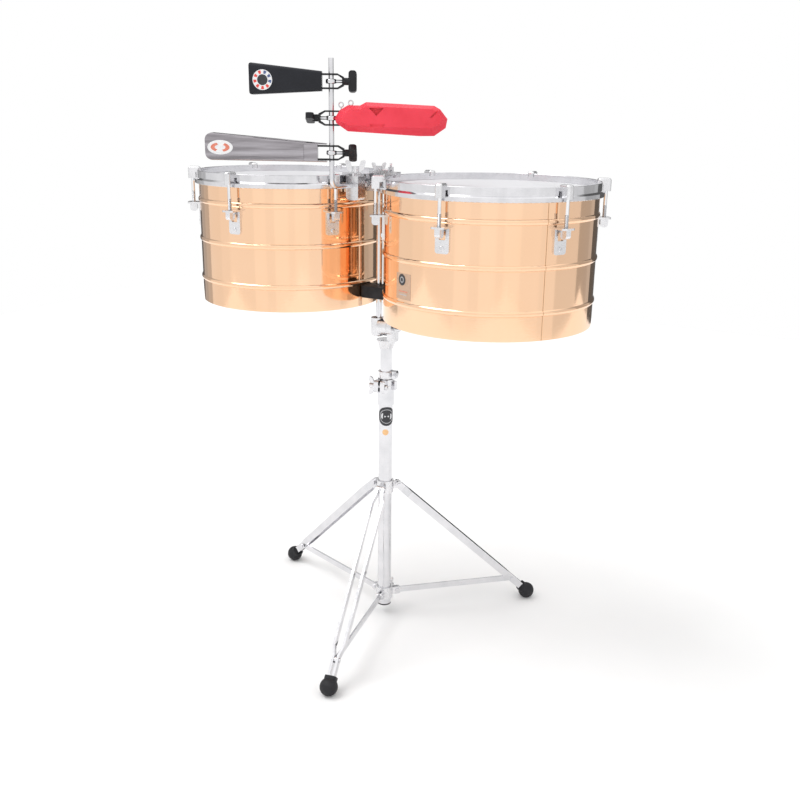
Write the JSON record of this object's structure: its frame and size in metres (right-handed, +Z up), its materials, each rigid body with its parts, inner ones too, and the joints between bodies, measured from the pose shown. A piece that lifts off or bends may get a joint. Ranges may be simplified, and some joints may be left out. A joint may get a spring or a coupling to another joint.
{
  "type": "timbales",
  "caption": "Pair of metal-shelled timbales on a height-adjustable, tilting, folding tripod stand, with cowbells and a jam block on an upright rod",
  "frame": {"origin": "on the floor, on the axis of the stand's tube, legs open", "axes": "+Z up; +X from the smaller drum to the larger drum; +Y to the far side from the bells' rod"},
  "size_m": [0.871, 0.5995, 1.191],
  "materials": {
    "bronze": "polished bronze-toned shell",
    "chrome": "chrome plate",
    "chrome_bell_plate": "darker chrome plate",
    "film": "frosted drumhead film",
    "flesh_steel": "plain metal ring",
    "black_rubber": "moulded rubber",
    "black_nylon": "nylon",
    "black_plastic": "moulded plastic",
    "black_powder_coat": "satin powder coat",
    "slate_paint": "satin paint",
    "red_plastic": "semi-gloss moulded plastic"
  },
  "bodies": {
    "stand": {"base_tube": "chrome", "tube_end_plug": "black_nylon", "leg_bracket": "chrome", "leg_pivot_pins": "chrome", "height_collar": "chrome", "height_bush": "black_nylon"},
    "sliding_collar": {"brace_collar": "chrome", "brace_pins": "chrome"},
    "collar_screw": {"brace_collar_wing_screw": "chrome"},
    "height_screw": {"height_wing_screw": "chrome"},
    "mast": {"upper_tube": "chrome", "tilter_base": "chrome"},
    "lock_ring": {"memory_lock": "chrome", "memory_lock_screw": "chrome"},
    "tilt_screw": {"tilter_wing_screw": "chrome"},
    "drum_carrier": {"tilter_head": "chrome", "post": "chrome", "bumper": "black_rubber", "rim_clamp_body": "chrome", "rim_clamp_jaws": "chrome", "rod_clamp_body": "chrome", "rod_clamp_jaw": "chrome", "shell_large": "bronze", "shell_small": "bronze", "hoop_large": "chrome", "hoop_small": "chrome", "drumhead_large": "film", "drumhead_small": "film", "flesh_hoops": "flesh_steel", "lugs": "chrome", "lug_rivets": "chrome", "tension_rods": "chrome", "tension_nuts": "chrome", "hoop_claws": "chrome"},
    "rim_screw_small": {"rim_wing_screw_small": "chrome"},
    "rim_screw_large": {"rim_wing_screw_large": "chrome"},
    "rod_screw": {"rod_clamp_wing_screw": "chrome"},
    "bell_rod": {"cowbell_rod": "chrome"},
    "black_bell_set": {"black_bell": "slate_paint", "black_bell_bracket": "black_powder_coat", "black_bell_eye_bolt": "chrome"},
    "black_bell_tee": {"black_bell_knob": "black_plastic"},
    "jam_block_set": {"jam_block": "red_plastic", "jam_block_hooks": "chrome", "jam_block_bracket": "black_powder_coat", "jam_block_eye_bolt": "chrome"},
    "jam_block_tee": {"jam_block_knob": "black_plastic"},
    "chrome_bell_set": {"chrome_bell": "chrome_bell_plate", "chrome_bell_bracket": "black_powder_coat", "chrome_bell_eye_bolt": "chrome"},
    "chrome_bell_tee": {"chrome_bell_knob": "black_plastic"},
    "front_leg": {"leg_front": "chrome", "foot_front": "black_rubber"},
    "front_brace": {"brace_front": "chrome"},
    "right_leg": {"leg_right": "chrome", "foot_right": "black_rubber"},
    "right_brace": {"brace_right": "chrome"},
    "left_leg": {"leg_left": "chrome", "foot_left": "black_rubber"},
    "left_brace": {"brace_left": "chrome"}
  },
  "joints": [
    {"name": "leg_fold", "type": "slide", "parent": "stand", "child": "sliding_collar", "axis": [0, 0, 1], "range_m": [0, 0.15756]},
    {"name": "front_leg_hinge", "type": "hinge", "parent": "stand", "child": "front_leg", "pos_m": [0.00583, -0.02943, 0.311], "axis": [0.981, 0.1942, 0], "range_deg": [0, 46.9]},
    {"name": "front_brace_hinge", "type": "hinge", "parent": "sliding_collar", "child": "front_brace", "pos_m": [0.00583, -0.02943, 0.052], "axis": [0.981, 0.1942, 0], "range_deg": [0, 90.47]},
    {"name": "right_leg_hinge", "type": "hinge", "parent": "stand", "child": "right_leg", "pos_m": [0.02257, 0.01976, 0.311], "axis": [-0.6587, 0.7524, 0], "range_deg": [0, 46.9]},
    {"name": "right_brace_hinge", "type": "hinge", "parent": "sliding_collar", "child": "right_brace", "pos_m": [0.02257, 0.01976, 0.052], "axis": [-0.6587, 0.7524, 0], "range_deg": [0, 90.47]},
    {"name": "left_leg_hinge", "type": "hinge", "parent": "stand", "child": "left_leg", "pos_m": [-0.0284, 0.00967, 0.311], "axis": [-0.3223, -0.9466, 0], "range_deg": [0, 46.9]},
    {"name": "left_brace_hinge", "type": "hinge", "parent": "sliding_collar", "child": "left_brace", "pos_m": [-0.0284, 0.00967, 0.052], "axis": [-0.3223, -0.9466, 0], "range_deg": [0, 90.47]},
    {"name": "collar_screw_turn", "type": "hinge", "parent": "sliding_collar", "child": "collar_screw", "pos_m": [0, 0.0258, 0.052], "axis": [0, 1, 0], "continuous": true},
    {"name": "height_screw_turn", "type": "hinge", "parent": "stand", "child": "height_screw", "pos_m": [-0.0133, -0.0235, 0.54275], "axis": [-1, 0, 0], "continuous": true},
    {"name": "height_slide", "type": "slide", "parent": "stand", "child": "mast", "axis": [0, 0, 1], "range_m": [0, 0.2]},
    {"name": "memory_lock_slide", "type": "slide", "parent": "mast", "child": "lock_ring", "axis": [0, 0, 1], "range_m": [0, 0.045]},
    {"name": "tilt_screw_turn", "type": "hinge", "parent": "mast", "child": "tilt_screw", "pos_m": [0.0213, 0, 0.668], "axis": [1, 0, 0], "continuous": true},
    {"name": "drum_tilt", "type": "hinge", "parent": "mast", "child": "drum_carrier", "pos_m": [0, 0, 0.668], "axis": [1, 0, 0], "range_deg": [-30, 30]},
    {"name": "rim_screw_small_turn", "type": "hinge", "parent": "drum_carrier", "child": "rim_screw_small", "pos_m": [-0.0306, 0.018, 0.9843], "axis": [0, 0, 1], "continuous": true},
    {"name": "rim_screw_large_turn", "type": "hinge", "parent": "drum_carrier", "child": "rim_screw_large", "pos_m": [0.007, 0, 0.9843], "axis": [0, 0, 1], "continuous": true},
    {"name": "rod_screw_turn", "type": "hinge", "parent": "drum_carrier", "child": "rod_screw", "pos_m": [-0.0305, -0.0735, 0.9843], "axis": [0, 0, 1], "continuous": true},
    {"name": "bell_rod_swing", "type": "hinge", "parent": "drum_carrier", "child": "bell_rod", "pos_m": [-0.042, -0.14, 0.96], "axis": [0.1271, 0.9919, 0], "range_deg": [-3, 12]},
    {"name": "black_bell_swivel", "type": "hinge", "parent": "bell_rod", "child": "black_bell_set", "pos_m": [-0.042, -0.14, 1.1503], "axis": [0, 0, 1], "continuous": true},
    {"name": "black_bell_tee_turn", "type": "hinge", "parent": "black_bell_set", "child": "black_bell_tee", "pos_m": [-0.02091, -0.12855, 1.1503], "axis": [0.8788, 0.4772, 0], "continuous": true},
    {"name": "jam_block_swivel", "type": "hinge", "parent": "bell_rod", "child": "jam_block_set", "pos_m": [-0.042, -0.14, 1.0856], "axis": [0, 0, 1], "range_deg": [-60, 60]},
    {"name": "jam_block_tee_turn", "type": "hinge", "parent": "jam_block_set", "child": "jam_block_tee", "pos_m": [-0.06309, -0.15145, 1.0856], "axis": [-0.8788, -0.4772, 0], "continuous": true},
    {"name": "chrome_bell_swivel", "type": "hinge", "parent": "bell_rod", "child": "chrome_bell_set", "pos_m": [-0.042, -0.14, 1.0232], "axis": [0, 0, 1], "range_deg": [-50, 50]},
    {"name": "chrome_bell_tee_turn", "type": "hinge", "parent": "chrome_bell_set", "child": "chrome_bell_tee", "pos_m": [-0.02091, -0.12855, 1.0232], "axis": [0.8788, 0.4772, 0], "continuous": true}
  ],
  "couplings": [
    {"joint": "front_leg_hinge", "follows": "leg_fold", "rad_per_m": 5.1938},
    {"joint": "front_brace_hinge", "follows": "leg_fold", "rad_per_m": 10.02},
    {"joint": "right_leg_hinge", "follows": "leg_fold", "rad_per_m": 5.1938},
    {"joint": "right_brace_hinge", "follows": "leg_fold", "rad_per_m": 10.02},
    {"joint": "left_leg_hinge", "follows": "leg_fold", "rad_per_m": 5.1938},
    {"joint": "left_brace_hinge", "follows": "leg_fold", "rad_per_m": 10.02}
  ]
}
